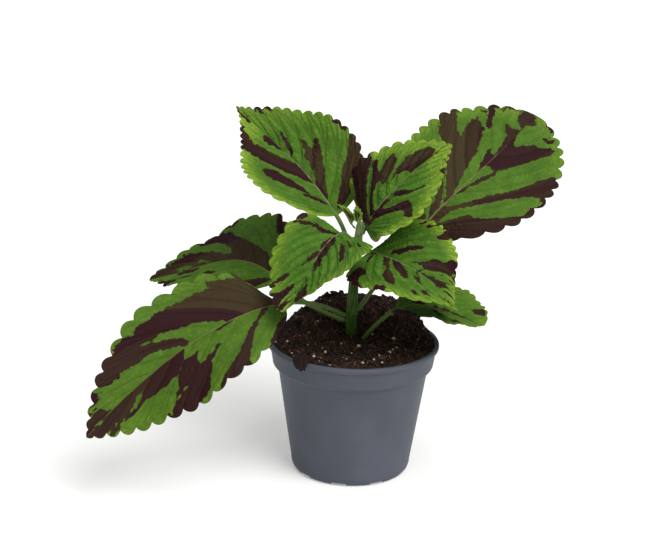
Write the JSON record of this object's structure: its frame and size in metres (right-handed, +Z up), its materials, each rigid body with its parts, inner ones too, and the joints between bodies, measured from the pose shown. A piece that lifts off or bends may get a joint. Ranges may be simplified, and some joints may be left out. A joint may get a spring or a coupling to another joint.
{
  "type": "coleus plant in a nursery pot",
  "caption": "Young coleus with scallop-edged leaves in green and burgundy, growing in peat soil in a plain grey plastic nursery pot.",
  "frame": {"origin": "centre of the pot's base, on the surface it stands on", "axes": "+Z up, +X to the right as seen from the front, along the longest spread of the leaves, +Y to the back"},
  "size_m": [0.3246, 0.2272, 0.2392],
  "materials": {
    "pot_plastic": "matt grey injection-moulded plastic",
    "soil": "moist crumbly peat with fibres and perlite",
    "stem": "fleshy green stem with fine pale hairs",
    "bark": "rough dark bark",
    "leaf": "soft quilted leaf, green with burgundy patches"
  },
  "bodies": {
    "root": {"pot": "pot_plastic", "soil": "soil", "stem": "stem", "bark_flake": "bark", "leaf_a": "leaf", "leaf_b": "leaf", "leaf_c": "leaf", "leaf_d": "leaf", "leaf_e": "leaf", "leaf_f": "leaf", "leaf_g": "leaf", "leaf_h": "leaf", "young_leaf_left": "leaf", "young_leaf_back": "leaf"}
  },
  "joints": []
}
